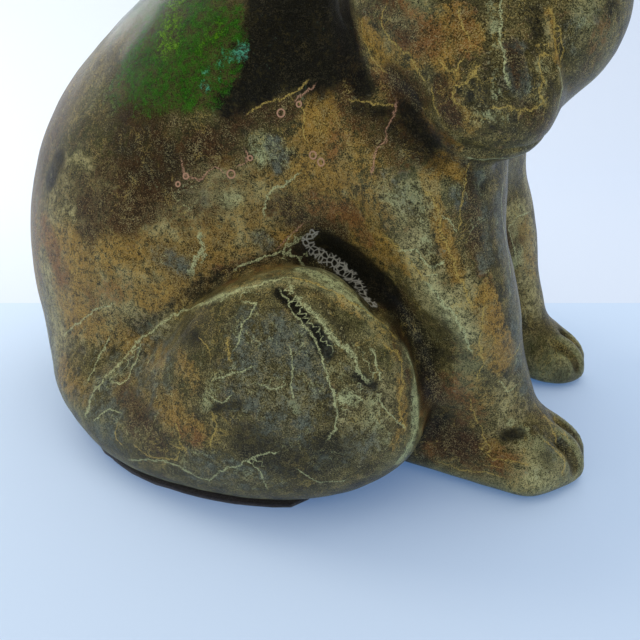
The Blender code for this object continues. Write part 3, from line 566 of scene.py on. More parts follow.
def colour_property(name, description, *screen):
    return FloatVectorProperty(
        name=name,
        description=description,
        subtype="COLOR",
        size=4,
        min=0,
        max=1,
        default=srgb(*screen),
    )


def length_property(name, description, default):
    return FloatProperty(
        name=name, description=description, unit="LENGTH", min=0, default=default, precision=4
    )


class BearClay(bpy.types.PropertyGroup):
    """How the bear's skin is worked."""

    grain: length_property("Grain", "Side of a face of the skin", 0.0025)
    smoothing: IntProperty(
        name="Smoothing", description="Rounds of smoothing over the skin", min=0, default=14
    )
    unevenness: length_property("Unevenness", "Height of the slow lumps", 0.0004)
    press: FloatProperty(
        name="Press",
        description="How deep the strokes are pressed, as a share of their own depth",
        subtype="FACTOR",
        min=0,
        max=2,
        default=1,
    )


class BearGlaze(bpy.types.PropertyGroup):
    """The finish of the bear."""

    ground: colour_property("Ground", "Olive glaze under the others", 104, 94, 52)
    ground_dark: colour_property("Dark ground", "Darker clouds in the olive", 50, 46, 28)
    # The dark fleck colour also paints the shade in the hollows.
    dark_fleck_and_shade: colour_property("Dark flecks", "Fine dark flecks all over", 22, 21, 16)
    pale_fleck: colour_property("Pale flecks", "Fine pale flecks all over", 186, 172, 116)
    pale_vein: colour_property("Pale veins", "Crawled lines of pale glaze", 192, 196, 142)
    ochre_vein: colour_property("Ochre veins", "Crawled lines of ochre glaze", 188, 162, 84)
    pink_vein: colour_property("Pink veins", "Crawled lines of pink glaze", 186, 142, 112)
    roughness: FloatProperty(
        name="Roughness", description="Roughness of the glaze", subtype="FACTOR",
        min=0, max=1, default=0.36,
    )
    foam: colour_property("Foam", "Beads of glaze crawled over the black", 168, 165, 150)
    grit: length_property("Grit", "Height of the fine grit in the glaze", 0.0003)


class BearFelt(bpy.types.PropertyGroup):
    """The pad under the rump."""

    colour: colour_property("Colour", "Colour of the felt", 24, 17, 19)
    fuzz: colour_property("Fuzz", "Colour of the fibres that stand out", 74, 52, 50)
    fray: length_property("Fray", "How far the cut edge wanders", 0.0012)
    spread: length_property("Spread", "How far the fibres are pressed out at the edge", 0.0025)


class BearStudio(bpy.types.PropertyGroup):
    """The table, the light and the camera."""

    table: colour_property("Table", "The sheet that the bear stands on", 202, 213, 219)
    wall: colour_property("Wall", "The wall that curves up past the sheet", 217, 219, 217)
    # Painted light: the sheet and wall glow bluish, which lifts their shadows.
    painted_glow: FloatProperty(
        name="Glow", description="How far sheet and wall glow in the shadows", min=0, default=0.25
    )
    daylight: FloatProperty(
        name="Daylight", description="Strength of the light from all round", min=0,
        default=0.8,
    )
    window: FloatProperty(
        name="Window", description="Power of the window on the left", unit="POWER", min=0,
        default=9,
    )
    ceiling: FloatProperty(
        name="Ceiling", description="Power of the soft light overhead", unit="POWER", min=0,
        default=6.5,
    )
    wash: FloatProperty(
        name="Wash", description="Power of the light on the wall", unit="POWER", min=0,
        default=6,
    )


def head_frame():
    """The head's frame in the bear's, in modules."""
    turn = Matrix.Rotation(math.radians(HEAD_TURN), 4, "Z")
    bow = Matrix.Rotation(math.radians(HEAD_BOW), 4, "Y")
    shift = Matrix.Translation((FORWARD_SHIFT, 0, 0))
    return shift @ Matrix.Translation(HEAD_CENTRE) @ turn @ bow


def mirrored(path):
    return [(x, -y, z) for x, y, z in path]


def in_metres(path):
    return np.array(path, float) * MILLIMETRE


def off_head(path):
    """A path in the head's frame, in modules, as metres in the bear's frame."""
    place = head_frame()
    return np.array([(place @ Vector(point)) * MODULE for point in path])


def toe_paths():
    """The grooves between the toes of both front paws, each a row of points in metres."""
    paths = []
    for across in TOE_GROOVES:
        reach = math.sqrt(PAW_RADIUS**2 - across**2)
        for side in (1, -1):
            path = []
            for angle in range(5, 90, 12):
                forward = PAW_END[0] + reach * math.cos(math.radians(angle))
                upward = PAW_END[2] + reach * math.sin(math.radians(angle))
                path.append((forward, side * (PAW_END[1] + across), upward))
            paths.append(np.array(path) * MODULE)
    return paths


def points_of(mesh):
    flat = np.empty(len(mesh.vertices) * 3, np.float32)
    mesh.vertices.foreach_get("co", flat)
    return flat.reshape(-1, 3).astype(float)


def normals_of(mesh):
    flat = np.empty(len(mesh.vertices) * 3, np.float32)
    mesh.vertices.foreach_get("normal", flat)
    return flat.reshape(-1, 3).astype(float)


def put_points(mesh, points):
    mesh.vertices.foreach_set("co", points.astype(np.float32).ravel())
    mesh.update()


def spread_to_path(points, path, close=None):
    """How far points lie from a path, and on which side of it they are."""
    nearest = np.full(len(points), np.inf)
    side = np.zeros(len(points))
    share_along = np.zeros(len(points))
    if len(path) == 1:
        return np.linalg.norm(points - path[0], axis=1), side, share_along
    for number, (start, end) in enumerate(zip(path[:-1], path[1:])):
        along = end - start
        share = np.clip((points - start) @ along / max(along @ along, 1e-12), 0, 1)
        away = points - start - share[:, None] * along
        reach = np.linalg.norm(away, axis=1)
        better = reach < nearest
        nearest = np.where(better, reach, nearest)
        share_along = np.where(better, number + share, share_along)
        if close is not None:
            across = np.cross(close, along / max(np.linalg.norm(along), 1e-9))
            side = np.where(better, (away * across).sum(axis=1), side)
    return nearest, side, share_along / (len(path) - 1)


def near_box(points, path, reach):
    """The numbers of the points that lie in the path's box, grown by reach."""
    low, high = path.min(axis=0) - reach, path.max(axis=0) + reach
    return np.nonzero(((points > low) & (points < high)).all(axis=1))[0]


def press_strokes(mesh, strokes, share):
    """Moves the skin in or out along each stroke. A stroke is a path, width and depth."""
    points = points_of(mesh)
    for path, width, depth in strokes:
        outward = normals_of(mesh)
        chosen = near_box(points, path, 2 * width)
        nearest, _, along = spread_to_path(points[chosen], path)
        fade = np.clip(np.minimum(along, 1 - along) * 5 + 0.25, 0, 1)
        move = np.exp(-((nearest / width) ** 2)) * depth * share * fade
        points[chosen] -= move[:, None] * outward[chosen]
        put_points(mesh, points)


def applied(obj):
    """The object's mesh with its modifiers applied, and no modifier left on it."""
    graph = bpy.context.evaluated_depsgraph_get()
    obj.data = bpy.data.meshes.new_from_object(obj.evaluated_get(graph))
    obj.modifiers.clear()
    return obj.data


def merged_copy(node, name):
    """A copy of a CAD node, its loose triangles merged into one closed skin."""
    bm = bmesh.new()
    bm.from_mesh(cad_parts[node].data)
    bmesh.ops.remove_doubles(bm, verts=bm.verts, dist=1e-6)
    mesh = bpy.data.meshes.new(name)
    bm.to_mesh(mesh)
    bm.free()
    obj = bpy.data.objects.new(name, mesh)
    bpy.context.collection.objects.link(obj)
    return obj


def kneaded(obj, grain):
    """The skin rounded off and made of even faces."""
    rounded = obj.modifiers.new("rounded", "SUBSURF")
    rounded.levels = rounded.render_levels = 2
    even = obj.modifiers.new("even", "REMESH")
    even.mode = "VOXEL"
    even.voxel_size = grain
    return applied(obj)


def smoothed(mesh, rounds):
    bm = bmesh.new()
    bm.from_mesh(mesh)
    for _ in range(rounds):
        bmesh.ops.smooth_vert(
            bm, verts=bm.verts, factor=0.5, use_axis_x=True, use_axis_y=True, use_axis_z=True
        )
    bm.to_mesh(mesh)
    bm.free()
    mesh.update()


def trued(mesh, solid, rounds):
    """The smoothed skin moved back out to the solid's surface, but not to its facets."""
    tree = BVHTree.FromPolygons(
        [vertex.co[:] for vertex in solid.vertices], [face.vertices[:] for face in solid.polygons]
    )
    points = points_of(mesh)
    outward = normals_of(mesh)
    nearest = np.array([tree.find_nearest(Vector(point))[0][:] for point in points])
    gap = ((nearest - points) * outward).sum(axis=1)
    gap = eased(gap[:, None], edges_of(mesh), rounds)
    put_points(mesh, points + gap * outward)


def refined(mesh, places):
    """The skin with faces half the size within reach of each place, where detail is fine."""
    bm = bmesh.new()
    bm.from_mesh(mesh)
    chosen = [
        edge
        for edge in bm.edges
        if any(((edge.verts[0].co + edge.verts[1].co) / 2 - spot).length < reach
               for spot, reach in places)
    ]
    bmesh.ops.subdivide_edges(bm, edges=chosen, cuts=1, use_grid_fill=True, smooth=0.3)
    bm.to_mesh(mesh)
    bm.free()
    mesh.update()


def edges_of(mesh):
    flat = np.empty(len(mesh.edges) * 2, np.int32)
    mesh.edges.foreach_get("vertices", flat)
    return flat.reshape(-1, 2)


def eased(values, edges, rounds):
    """Values at the vertices, each averaged with its neighbours' so many times."""
    count = len(values)
    ends = np.concatenate([edges[:, 0], edges[:, 1]])
    others = np.concatenate([edges[:, 1], edges[:, 0]])
    neighbours = np.bincount(ends, minlength=count)
    values = values.copy()
    for _ in range(rounds):
        total = np.stack(
            [
                np.bincount(ends, weights=values[others, axis], minlength=count)
                for axis in range(values.shape[1])
            ],
            axis=1,
        )
        values = 0.5 * values + 0.5 * total / neighbours[:, None]
    return values


def write_values(mesh, name, values):
    layer = mesh.attributes.new(name, "FLOAT", "POINT")
    layer.data.foreach_set("value", values.astype(np.float32))


def warp(points, scale, amount):
    """Points pushed about by a slow noise, so that two sides don't match."""
    moved = [noise.noise_vector(Vector(point) * scale) for point in points]
    return points + np.array(moved) * amount


def uneven(mesh, height):
    """Slow lumps and shallow dents over the whole skin, as hand-built clay has."""
    points = points_of(mesh)
    outward = normals_of(mesh)
    lumps = np.array([
        noise.noise(Vector(point) * 32) + 0.45 * noise.noise(Vector(point) * 95)
        for point in points
    ])
    put_points(mesh, points + (lumps * height)[:, None] * outward)


def settle_on(mesh, felt_top, heel_back, heel_front):
    """Keeps the skin above the felt under the rump, and above the table under the paws."""
    points = points_of(mesh)
    share = np.clip((points[:, 0] - heel_back) / (heel_front - heel_back), 0, 1)
    floor = (1 - share * share * (3 - 2 * share)) * felt_top
    points[:, 2] = np.maximum(points[:, 2], floor)
    put_points(mesh, points)


def paint_daubs(mesh, points):
    """Writes how much of each glaze lies at each vertex."""
    far_side = warp(points * np.array((1, -1, 1)), 16, 0.03)
    for glaze in GLAZES:
        bare = np.ones(len(points))
        for daub in DAUBS:
            if daub.glaze != glaze.name:
                continue
            path = in_metres(daub.path)
            reach = daub.reach * MILLIMETRE
            sides = [(points, 1.0)]
            if daub.reach >= BROAD_REACH:
                sides.append((far_side, 0.9))
            for seen, share in sides:
                chosen = near_box(seen, path, 1.5 * reach)
                nearest = spread_to_path(seen[chosen], path)[0]
                cover = np.clip(1.5 - nearest / reach, 0, 1)
                cover = cover * cover * (3 - 2 * cover)
                bare[chosen] *= 1 - cover * daub.strength * share
        write_values(mesh, "glaze_" + glaze.name, 1 - bare)


def draw_veins(mesh, points):
    """Writes the distance across the nearest vein of each glaze, and how near it is."""
    outward = normals_of(mesh)
    for glaze in ("pale", "ochre", "pink"):
        nearest = np.full(len(points), 1.0)
        across = np.full(len(points), 0.02)
        near = np.zeros(len(points))
        for vein in VEINS:
            if vein.glaze != glaze:
                continue
            path = in_metres(vein.path)
            chosen = near_box(points, path, 0.012)
            reach, side, along = spread_to_path(points[chosen], path, outward[chosen])
            better = reach < nearest[chosen]
            fade = np.clip(np.minimum(along, 1 - along) * 8 + 0.3, 0, 1)
            pick = chosen[better]
            nearest[pick] = reach[better]
            across[pick] = side[better] / vein.width
            near[pick] = (np.clip(1 - reach / 0.006, 0, 1) * fade)[better]
        write_values(mesh, "vein_" + glaze, across)
        write_values(mesh, "near_" + glaze, near)
    crawl = spread_to_path(points, in_metres(CRAWL))[0]
    write_values(mesh, "crawl", np.clip(1 - crawl / (2 * CRAWL_REACH * MILLIMETRE), 0, 1))


def mark_hollows(mesh):
    """Writes how hollow, above nothing, or proud, below nothing, the skin is."""
    points = points_of(mesh)
    outward = normals_of(mesh)
    edges = edges_of(mesh)
    fine = ((eased(points, edges, 8) - points) * outward).sum(axis=1)
    broad = ((eased(points, edges, 70) - points) * outward).sum(axis=1)
    hollow = fine / 0.0002 + broad / 0.0022
    write_values(mesh, "hollow", eased(hollow[:, None], edges, 2)[:, 0])


class Recipe:
    """A material whose nodes are laid down one after another."""

    def __init__(self, name):
        self.material = bpy.data.materials.new(name)
        self.material.use_nodes = True
        self.tree = self.material.node_tree
        self.surface = self.tree.nodes["Principled BSDF"]
        self.place = self.node("ShaderNodeTexCoord").outputs["Object"]

    def node(self, kind, **settings):
        made = self.tree.nodes.new(kind)
        for name, value in settings.items():
            setattr(made, name, value)
        return made

    def feed(self, socket, value):
        if isinstance(value, bpy.types.NodeSocket):
            self.tree.links.new(value, socket)
        else:
            socket.default_value = value

    def painted(self, name):
        """A value written at the vertices."""
        return self.node("ShaderNodeAttribute", attribute_name=name).outputs["Fac"]

    def clouds(self, scale, detail=6, roughness=0.6, distortion=0.0, offset=0.0, place=None):
        moved = self.node("ShaderNodeMapping")
        self.feed(moved.inputs["Vector"], place or self.place)
        moved.inputs["Location"].default_value = (offset, offset * 0.7, -offset)
        made = self.node("ShaderNodeTexNoise")
        self.feed(made.inputs["Vector"], moved.outputs["Vector"])
        made.inputs["Scale"].default_value = scale
        made.inputs["Detail"].default_value = detail
        made.inputs["Roughness"].default_value = roughness
        made.inputs["Distortion"].default_value = distortion
        return made.outputs["Fac"]

    def warped(self, scale, amount):
        """Places pushed about by noise."""
        made = self.node("ShaderNodeTexNoise")
        self.feed(made.inputs["Vector"], self.place)
        made.inputs["Scale"].default_value = scale
        made.inputs["Detail"].default_value = 5
        made.inputs["Roughness"].default_value = 0.65
        centred = self.node("ShaderNodeVectorMath", operation="SUBTRACT")
        self.feed(centred.inputs[0], made.outputs["Color"])
        centred.inputs[1].default_value = (0.5, 0.5, 0.5)
        scaled = self.node("ShaderNodeVectorMath", operation="SCALE")
        self.feed(scaled.inputs[0], centred.outputs["Vector"])
        scaled.inputs["Scale"].default_value = amount
        moved = self.node("ShaderNodeVectorMath", operation="ADD")
        self.feed(moved.inputs[0], self.place)
        self.feed(moved.inputs[1], scaled.outputs["Vector"])
        return moved.outputs["Vector"]

    def sum(self, first, second, share=1.0):
        """first + share * second"""
        made = self.node("ShaderNodeMath", operation="MULTIPLY_ADD")
        self.feed(made.inputs[0], second)
        self.feed(made.inputs[1], share)
        self.feed(made.inputs[2], first)
        return made.outputs[0]

    def reckon(self, operation, first, second=0.0):
        made = self.node("ShaderNodeMath", operation=operation)
        self.feed(made.inputs[0], first)
        self.feed(made.inputs[1], second)
        return made.outputs[0]

    def step(self, value, low, high, start=0.0, end=1.0):
        """A smooth rise from start to end as the value goes from low to high."""
        made = self.node("ShaderNodeMapRange", interpolation_type="SMOOTHSTEP")
        self.feed(made.inputs["Value"], value)
        made.inputs["From Min"].default_value = low
        made.inputs["From Max"].default_value = high
        made.inputs["To Min"].default_value = start
        made.inputs["To Max"].default_value = end
        return made.outputs["Result"]

    def wash(self, under, over, cover, blend="MIX"):
        """One colour laid over another as far as it covers."""
        made = self.node("ShaderNodeMix", data_type="RGBA", blend_type=blend)
        self.feed(made.inputs[0], cover)
        self.feed(made.inputs[6], under)
        self.feed(made.inputs[7], over)
        return made.outputs[2]

    def cracks(self, place, scale, width):
        """Thin broken lines between cells."""
        made = self.node("ShaderNodeTexVoronoi", feature="DISTANCE_TO_EDGE")
        self.feed(made.inputs["Vector"], place)
        made.inputs["Scale"].default_value = scale
        return self.step(made.outputs["Distance"], 0.0, width, 1.0, 0.0)

    def ring(self, spot, radius):
        """A thin ring on the surface round a spot, both in millimetres."""
        made = self.node("ShaderNodeVectorMath", operation="DISTANCE")
        self.feed(made.inputs[0], self.place)
        made.inputs[1].default_value = [length * MILLIMETRE for length in spot]
        off = self.reckon("SUBTRACT", made.outputs["Value"], radius * MILLIMETRE)
        return self.step(self.reckon("ABSOLUTE", off), 0.0006, 0.0002, 0.0, 0.9)

    def bump(self, height, distance, strength=1.0):
        made = self.node("ShaderNodeBump")
        made.inputs["Strength"].default_value = strength
        made.inputs["Distance"].default_value = distance
        self.feed(made.inputs["Height"], height)
        self.feed(self.surface.inputs["Normal"], made.outputs["Normal"])


def glaze_material(settings):
    """Raku: broken layers of glaze, fine flecks, crawled veins and painted shade in the hollows."""
    raku = Recipe("raku_glaze")
    blot = raku.sum(-0.5, raku.clouds(110, 9, 0.68, offset=4.1))
    patch = raku.sum(-0.5, raku.clouds(64, 9, 0.66, 0.5, offset=1.3))
    fleck = raku.sum(-0.5, raku.clouds(1400, 3, 0.75, offset=2.2))
    grit = raku.sum(-0.5, raku.clouds(2300, 1, 0.5, offset=7.7))
    mottle = raku.sum(-0.5, raku.clouds(330, 4, 0.7, 0.4, offset=5.6))
    hollow = raku.painted("hollow")
    shade = raku.sum(raku.sum(blot, mottle, 0.9), fleck, 0.5)
    colour = raku.wash(settings.ground, settings.ground_dark, raku.step(shade, -0.05, 0.1))
    for glaze in GLAZES:
        spread = raku.sum(glaze.stray, raku.painted("glaze_" + glaze.name))
        spread = raku.sum(spread, blot, glaze.blot_lean)
        spread = raku.sum(spread, patch, glaze.patch_lean)
        spread = raku.sum(spread, raku.sum(mottle, fleck, 0.7), 1.9)
        cover = raku.step(spread, 0.2, 0.92, 0.0, 0.95)
        colour = raku.wash(colour, srgb(*glaze.colour), cover)
    dim = raku.step(
        raku.sum(raku.painted("glaze_black"), raku.painted("glaze_emerald")), 0.2, 0.8, 1.0, 0.12
    )
    # Painted shade: the hollows and creases are darkened towards the dark fleck colour, broken up
    # by the blots.
    hollow_shade = raku.step(raku.sum(hollow, blot, 4.0), 1.3, 3.4, 0.0, 0.75)
    colour = raku.wash(colour, settings.dark_fleck_and_shade, hollow_shade)
    # Paler on proud ridges and edges, measured by how proud the skin is and broken up by noise.
    pale_on_proud = raku.step(raku.sum(hollow, shade, 4.0), -1.0, -3.0, 0.0, 0.3)
    colour = raku.wash(colour, settings.pale_vein, raku.reckon("MULTIPLY", pale_on_proud, dim))
    tone = raku.sum(raku.sum(mottle, blot, 0.5), fleck, 0.7)
    colour = raku.wash(colour, raku.step(tone, -0.24, 0.24, 0.4, 1.5), 1.0, "MULTIPLY")
    speck = raku.sum(raku.sum(fleck, grit, 0.6), mottle, 0.35)
    dark = raku.step(speck, -0.02, -0.15, 0.0, 0.8)
    colour = raku.wash(colour, settings.dark_fleck_and_shade, dark)
    bright = raku.step(raku.sum(speck, blot, -0.6), 0.05, 0.22, 0.0, 0.5)
    colour = raku.wash(colour, settings.pale_fleck, raku.reckon("MULTIPLY", bright, dim))
    ragged = raku.step(raku.clouds(60, 3, 0.6, offset=9.1), 0.48, 0.58)
    rims = raku.step(raku.reckon("ABSOLUTE", raku.sum(patch, mottle, 0.12)), 0.012, 0.004, 0.0, 0.6)
    rims = raku.reckon("MULTIPLY", raku.reckon("MULTIPLY", rims, ragged), dim)
    rims = raku.reckon("MULTIPLY", rims, raku.step(speck, -0.1, 0.04, 0.2, 1.0))
    cool = raku.step(raku.painted("glaze_slate"), 0.1, 0.5)
    colour = raku.wash(colour, raku.wash(settings.ochre_vein, settings.pale_vein, cool), rims)
    lines = rims
    wander = raku.sum(-0.5, raku.clouds(120, 5, 0.7, offset=3.9))
    for name, vein in (
        ("ochre", settings.ochre_vein),
        ("pink", settings.pink_vein),
        ("pale", settings.pale_vein),
    ):
        across = raku.sum(raku.painted("vein_" + name), wander, 0.009)
        across = raku.sum(across, mottle, 0.004)
        line = raku.step(raku.reckon("ABSOLUTE", across), 0.0009, 0.0002, 0.0, 0.8)
        near = raku.step(raku.painted("near_" + name), 0.12, 0.35)
        line = raku.reckon("MULTIPLY", line, near)
        line = raku.reckon("MULTIPLY", line, raku.step(speck, -0.1, 0.02, 0.2, 1.0))
        colour = raku.wash(colour, vein, line)
        lines = raku.reckon("MAXIMUM", lines, line)
    crawl = raku.cracks(raku.warped(300, 0.001), 340, 0.2)
    chain = raku.step(raku.sum(raku.painted("crawl"), mottle, 1.0), 0.45, 0.6)
    crawl = raku.reckon("MULTIPLY", crawl, chain)
    colour = raku.wash(colour, settings.foam, crawl)
    for spot, radius in BLISTERS:
        ring = raku.ring(spot, radius)
        colour = raku.wash(colour, settings.pink_vein, ring)
        lines = raku.reckon("MAXIMUM", lines, ring)
    lines = raku.reckon("MAXIMUM", lines, crawl)
    raku.feed(raku.surface.inputs["Base Color"], colour)
    gloss = raku.step(raku.painted("glaze_emerald"), 0.2, 0.9, 0.0, -0.16)
    rough = raku.sum(raku.reckon("ADD", gloss, settings.roughness), fleck, 0.6)
    raku.feed(raku.surface.inputs["Roughness"], rough)
    raku.surface.inputs["Specular IOR Level"].default_value = 0.12
    wet = raku.step(raku.painted("glaze_emerald"), 0.1, 0.9, 0.08, 0.42)
    raku.feed(raku.surface.inputs["Coat Weight"], wet)
    raku.surface.inputs["Coat Roughness"].default_value = 0.12
    relief = raku.sum(raku.sum(fleck, grit, 0.5), lines, 0.3)
    relief = raku.sum(relief, mottle, 0.8)
    raku.bump(relief, settings.grit, 0.9)
    return raku.material


def felt_material(settings):
    """Pressed felt: matted fibres with paler fuzz standing out."""
    felt = Recipe("felt")
    mat = felt.clouds(900, 6, 0.7, 1.5)
    colour = felt.wash(settings.colour, settings.fuzz, felt.step(mat, 0.5, 0.75))
    felt.feed(felt.surface.inputs["Base Color"], colour)
    felt.surface.inputs["Roughness"].default_value = 0.95
    felt.surface.inputs["Sheen Weight"].default_value = 0.35
    felt.bump(mat, 0.0008)
    return felt.material


def plain_material(name, colour, painted_glow):
    """A plain pale matt surface with a little painted light: a bluish glow that lifts its shadows.
    """
    matt = Recipe(name)
    matt.surface.inputs["Base Color"].default_value = colour
    matt.surface.inputs["Roughness"].default_value = 0.7
    # Painted light: the bluish glow lifts the shadows on the sheet and wall and throws bluish fill
    # onto the bear.
    matt.surface.inputs["Emission Color"].default_value = srgb(112, 170, 250)
    matt.surface.inputs["Emission Strength"].default_value = painted_glow
    matt.bump(matt.clouds(180, 4), 0.0002, 0.3)
    return matt.material


def dress(obj, material):
    obj.data.materials.clear()
    obj.data.materials.append(material)
    obj.data.shade_smooth()


class BEAR_OT_skin(bpy.types.Operator):
    """The bear's skin, its fine relief and its raku glaze"""

    bl_idname = "bear.skin"
    bl_label = "Bear"

    def execute(self, context):
        clay = context.scene.bear_clay
        skin = merged_copy("bear", "raku_bear")
        solid = skin.data.copy()
        mesh = kneaded(skin, clay.grain)
        smoothed(mesh, clay.smoothing)
        trued(mesh, solid, 12)
        nose = Vector(off_head([(28, 0, -3)])[0])
        refined(mesh, [(nose, 0.034)])
        uneven(mesh, clay.unevenness)
        strokes = []
        for stroke in STROKES:
            size = (stroke.width * MILLIMETRE, stroke.depth * MILLIMETRE)
            strokes.append((in_metres(stroke.path), *size))
            strokes.append((in_metres(mirrored(stroke.path)), *size))
        for stroke in HEAD_STROKES:
            size = (stroke.width * MILLIMETRE / 2, stroke.depth * MILLIMETRE)
            whole = stroke.path + mirrored(stroke.path)[-2::-1]
            if stroke.name == "nostril":
                strokes.append((off_head(mirrored(stroke.path)), *size))
                whole = stroke.path
            strokes.append((off_head(whole), *size))
        for path in toe_paths():
            strokes.append((path, 0.0025, 0.003))
        unpressed = points_of(mesh)
        press_strokes(mesh, strokes, clay.press)
        settle_on(mesh, 0.0033, 0.0622, 0.0812)
        mark_hollows(mesh)
        paint_daubs(mesh, unpressed)
        draw_veins(mesh, unpressed)
        dress(skin, glaze_material(context.scene.bear_glaze))
        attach(skin, "root")
        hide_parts("bear")
        return {"FINISHED"}


class BEAR_OT_felt(bpy.types.Operator):
    """The felt pad under the rump, with a frayed edge"""

    bl_idname = "bear.felt"
    bl_label = "Felt pad"

    def execute(self, context):
        settings = context.scene.bear_felt
        pad = merged_copy("felt_pad", "felt_pad_fibres")
        bm = bmesh.new()
        bm.from_mesh(pad.data)
        flat = math.radians(5)
        bmesh.ops.dissolve_limit(
            bm, angle_limit=math.radians(1), verts=bm.verts, edges=bm.edges,
        )
        rims = [edge for edge in bm.edges if edge.calc_face_angle(0) > flat]
        bmesh.ops.bevel(
            bm, geom=rims, offset=0.0008, segments=2, profile=0.5, affect="EDGES", material=-1
        )
        middle = Vector((-0.06, 0, 0))
        for vert in bm.verts:
            out = vert.co - middle
            out.z = 0
            wander = noise.noise(vert.co * 120) + 0.6 * noise.noise(vert.co * 420)
            vert.co += out.normalized() * (wander * settings.fray + settings.spread)
        bm.to_mesh(pad.data)
        bm.free()
        dress(pad, felt_material(settings))
        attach(pad, "root")
        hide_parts("felt_pad")
        return {"FINISHED"}


# The camera's place, its slope below level and its turn from straight ahead, and the
# distance from it at which the pale sheet ends.
CAMERA_SPOT = (0.1602, -0.4383, 0.2525)
CAMERA_SLOPE = 23.96
CAMERA_TURN = 18.6
CAMERA_LENS = 40.5
SHEET_END = 0.6064


# A soft light. Its spot and target are how far right, forward and up they are from the bear,
# as the camera looks, in metres.
Light = namedtuple("Light", "name size power colour spot target mirrored")


def add_light(light, turn):
    lamp = bpy.data.lights.new(light.name, "AREA")
    lamp.size = light.size
    lamp.energy = light.power
    lamp.color = light.colour
    obj = bpy.data.objects.new(light.name, lamp)
    around = Matrix.Rotation(turn, 4, "Z")
    obj.location = around @ Vector(light.spot)
    facing = around @ Vector(light.target) - obj.location
    obj.rotation_euler = facing.to_track_quat("-Z", "Y").to_euler()
    obj.visible_camera = False
    obj.visible_glossy = light.mirrored
    bpy.context.collection.objects.link(obj)


def lay_sheet(turn, ground):
    """The flat sheet that the bear stands on, ending in a straight edge behind it."""
    bm = bmesh.new()
    bmesh.ops.create_grid(bm, x_segments=1, y_segments=1, size=1)
    bmesh.ops.scale(bm, vec=(3, 1.2, 1), verts=bm.verts)
    bmesh.ops.translate(bm, vec=(0, -1.2, 0), verts=bm.verts)
    sheet = stand(bm, "table", turn, ground)
    return sheet


def raise_wall(turn, ground):
    """The ground past the sheet, which curves up into a wall."""
    bm = bmesh.new()
    bmesh.ops.create_grid(bm, x_segments=1, y_segments=1, size=1)
    bmesh.ops.scale(bm, vec=(3, 0.25, 1), verts=bm.verts)
    bmesh.ops.translate(bm, vec=(0, 0.25, 0), verts=bm.verts)
    rim = [edge for edge in bm.edges if min(vert.co.y for vert in edge.verts) > 0.4]
    bmesh.ops.spin(
        bm, geom=rim, cent=(0, 0.5, 0.6), axis=(1, 0, 0), dvec=(0, 0, 0), angle=math.pi / 2,
        steps=16,
    )
    top = [edge for edge in bm.edges if min(vert.co.z for vert in edge.verts) > 0.59]
    raised = bmesh.ops.extrude_edge_only(bm, edges=top)["geom"]
    upper = [item for item in raised if isinstance(item, bmesh.types.BMVert)]
    bmesh.ops.translate(bm, vec=(0, 0, 1.6), verts=upper)
    return stand(bm, "wall", turn, ground)


def stand(bm, name, turn, ground):
    """A stage piece turned to face the camera, with its place in its mesh."""
    place = Matrix.Translation(ground) @ Matrix.Rotation(turn, 4, "Z")
    bmesh.ops.transform(bm, matrix=place, verts=bm.verts)
    bmesh.ops.recalc_face_normals(bm, faces=bm.faces)
    mesh = bpy.data.meshes.new(name)
    bm.to_mesh(mesh)
    bm.free()
    obj = bpy.data.objects.new(name, mesh)
    bpy.context.collection.objects.link(obj)
    return obj


def light_room(settings):
    """Even pale light from all round, which the glaze doesn't mirror."""
    daylight = bpy.data.worlds.new("daylight")
    daylight.use_nodes = True
    sky = daylight.node_tree.nodes["Background"]
    sky.inputs["Color"].default_value = (0.97, 0.985, 1.0, 1)
    sky.inputs["Strength"].default_value = settings.daylight
    daylight.cycles_visibility.glossy = False
    bpy.context.scene.world = daylight


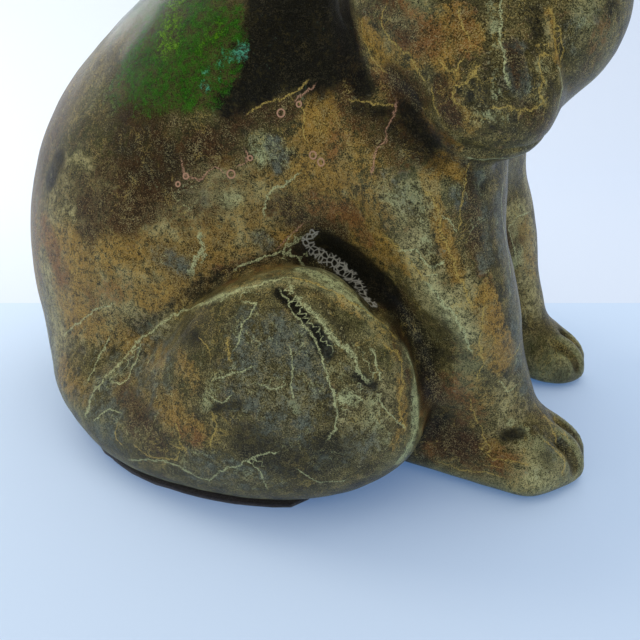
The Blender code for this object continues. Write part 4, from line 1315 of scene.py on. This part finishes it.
class BEAR_OT_studio(bpy.types.Operator):
    """The pale table and wall, the soft light and the camera at the photograph's angle"""

    bl_idname = "bear.studio"
    bl_label = "Studio"

    def execute(self, context):
        settings = context.scene.bear_studio
        turn = math.radians(CAMERA_TURN)
        end = (-math.sin(turn) * SHEET_END, math.cos(turn) * SHEET_END, 0)
        ground = Vector((CAMERA_SPOT[0], CAMERA_SPOT[1], 0)) + Vector(end)
        sheet = lay_sheet(turn, ground)
        dress(sheet, plain_material("pale_table", settings.table, settings.painted_glow))
        dress(raise_wall(turn, ground), plain_material("pale_wall", settings.wall, settings.painted_glow))
        light_room(settings)
        warm, cool = (1, 0.93, 0.8), (0.97, 0.99, 1)
        for light in (
            Light("window", 1.6, settings.window, warm, (-1.58, 1.15, 0.7), (-1.58, 0, 0.7), True),
            Light("ceiling", 1.6, settings.ceiling, cool, (0.35, 0.35, 1.6), (0, 0, 0), False),
            Light("wash", 0.5, settings.wash, warm, (-0.9, 0.35, 0.9), (-0.75, 0.75, 0), False),
        ):
            add_light(light, turn)
        camera = bpy.data.objects.new("camera", bpy.data.cameras.new("camera"))
        camera.data.lens = CAMERA_LENS
        camera.data.sensor_width = 36
        camera.data.clip_start = 0.01
        camera.location = CAMERA_SPOT
        camera.rotation_euler = (math.radians(90 - CAMERA_SLOPE), 0, turn)
        context.collection.objects.link(camera)
        context.scene.camera = camera
        context.scene.view_settings.view_transform = "Standard"
        return {"FINISHED"}


class BEAR_PT_sidebar(bpy.types.Panel):
    """The bear's pieces and their settings"""

    bl_label = "Raku bear"
    bl_idname = "BEAR_PT_sidebar"
    bl_space_type = "VIEW_3D"
    bl_region_type = "UI"
    bl_category = "Bear"

    def draw(self, context):
        for operator, settings in (
            (BEAR_OT_skin, ("bear_clay", "bear_glaze")),
            (BEAR_OT_felt, ("bear_felt",)),
            (BEAR_OT_studio, ("bear_studio",)),
        ):
            box = self.layout.box()
            box.operator(operator.bl_idname)
            for group in settings:
                values = getattr(context.scene, group)
                for name in values.bl_rna.properties.keys():
                    if name not in ("rna_type", "name"):
                        box.prop(values, name)


GROUPS = {
    "bear_clay": BearClay,
    "bear_glaze": BearGlaze,
    "bear_felt": BearFelt,
    "bear_studio": BearStudio,
}
OPERATORS = (BEAR_OT_skin, BEAR_OT_felt, BEAR_OT_studio)


def register():
    for name, group in GROUPS.items():
        bpy.utils.register_class(group)
        setattr(bpy.types.Scene, name, PointerProperty(type=group))
    for operator in OPERATORS:
        bpy.utils.register_class(operator)
    bpy.utils.register_class(BEAR_PT_sidebar)


def unregister():
    bpy.utils.unregister_class(BEAR_PT_sidebar)
    for operator in reversed(OPERATORS):
        bpy.utils.unregister_class(operator)
    for name, group in reversed(GROUPS.items()):
        delattr(bpy.types.Scene, name)
        bpy.utils.unregister_class(group)


def main():
    register()
    bpy.ops.bear.skin()
    bpy.ops.bear.felt()
    bpy.ops.bear.studio()


if __name__ == "__main__":
    main()
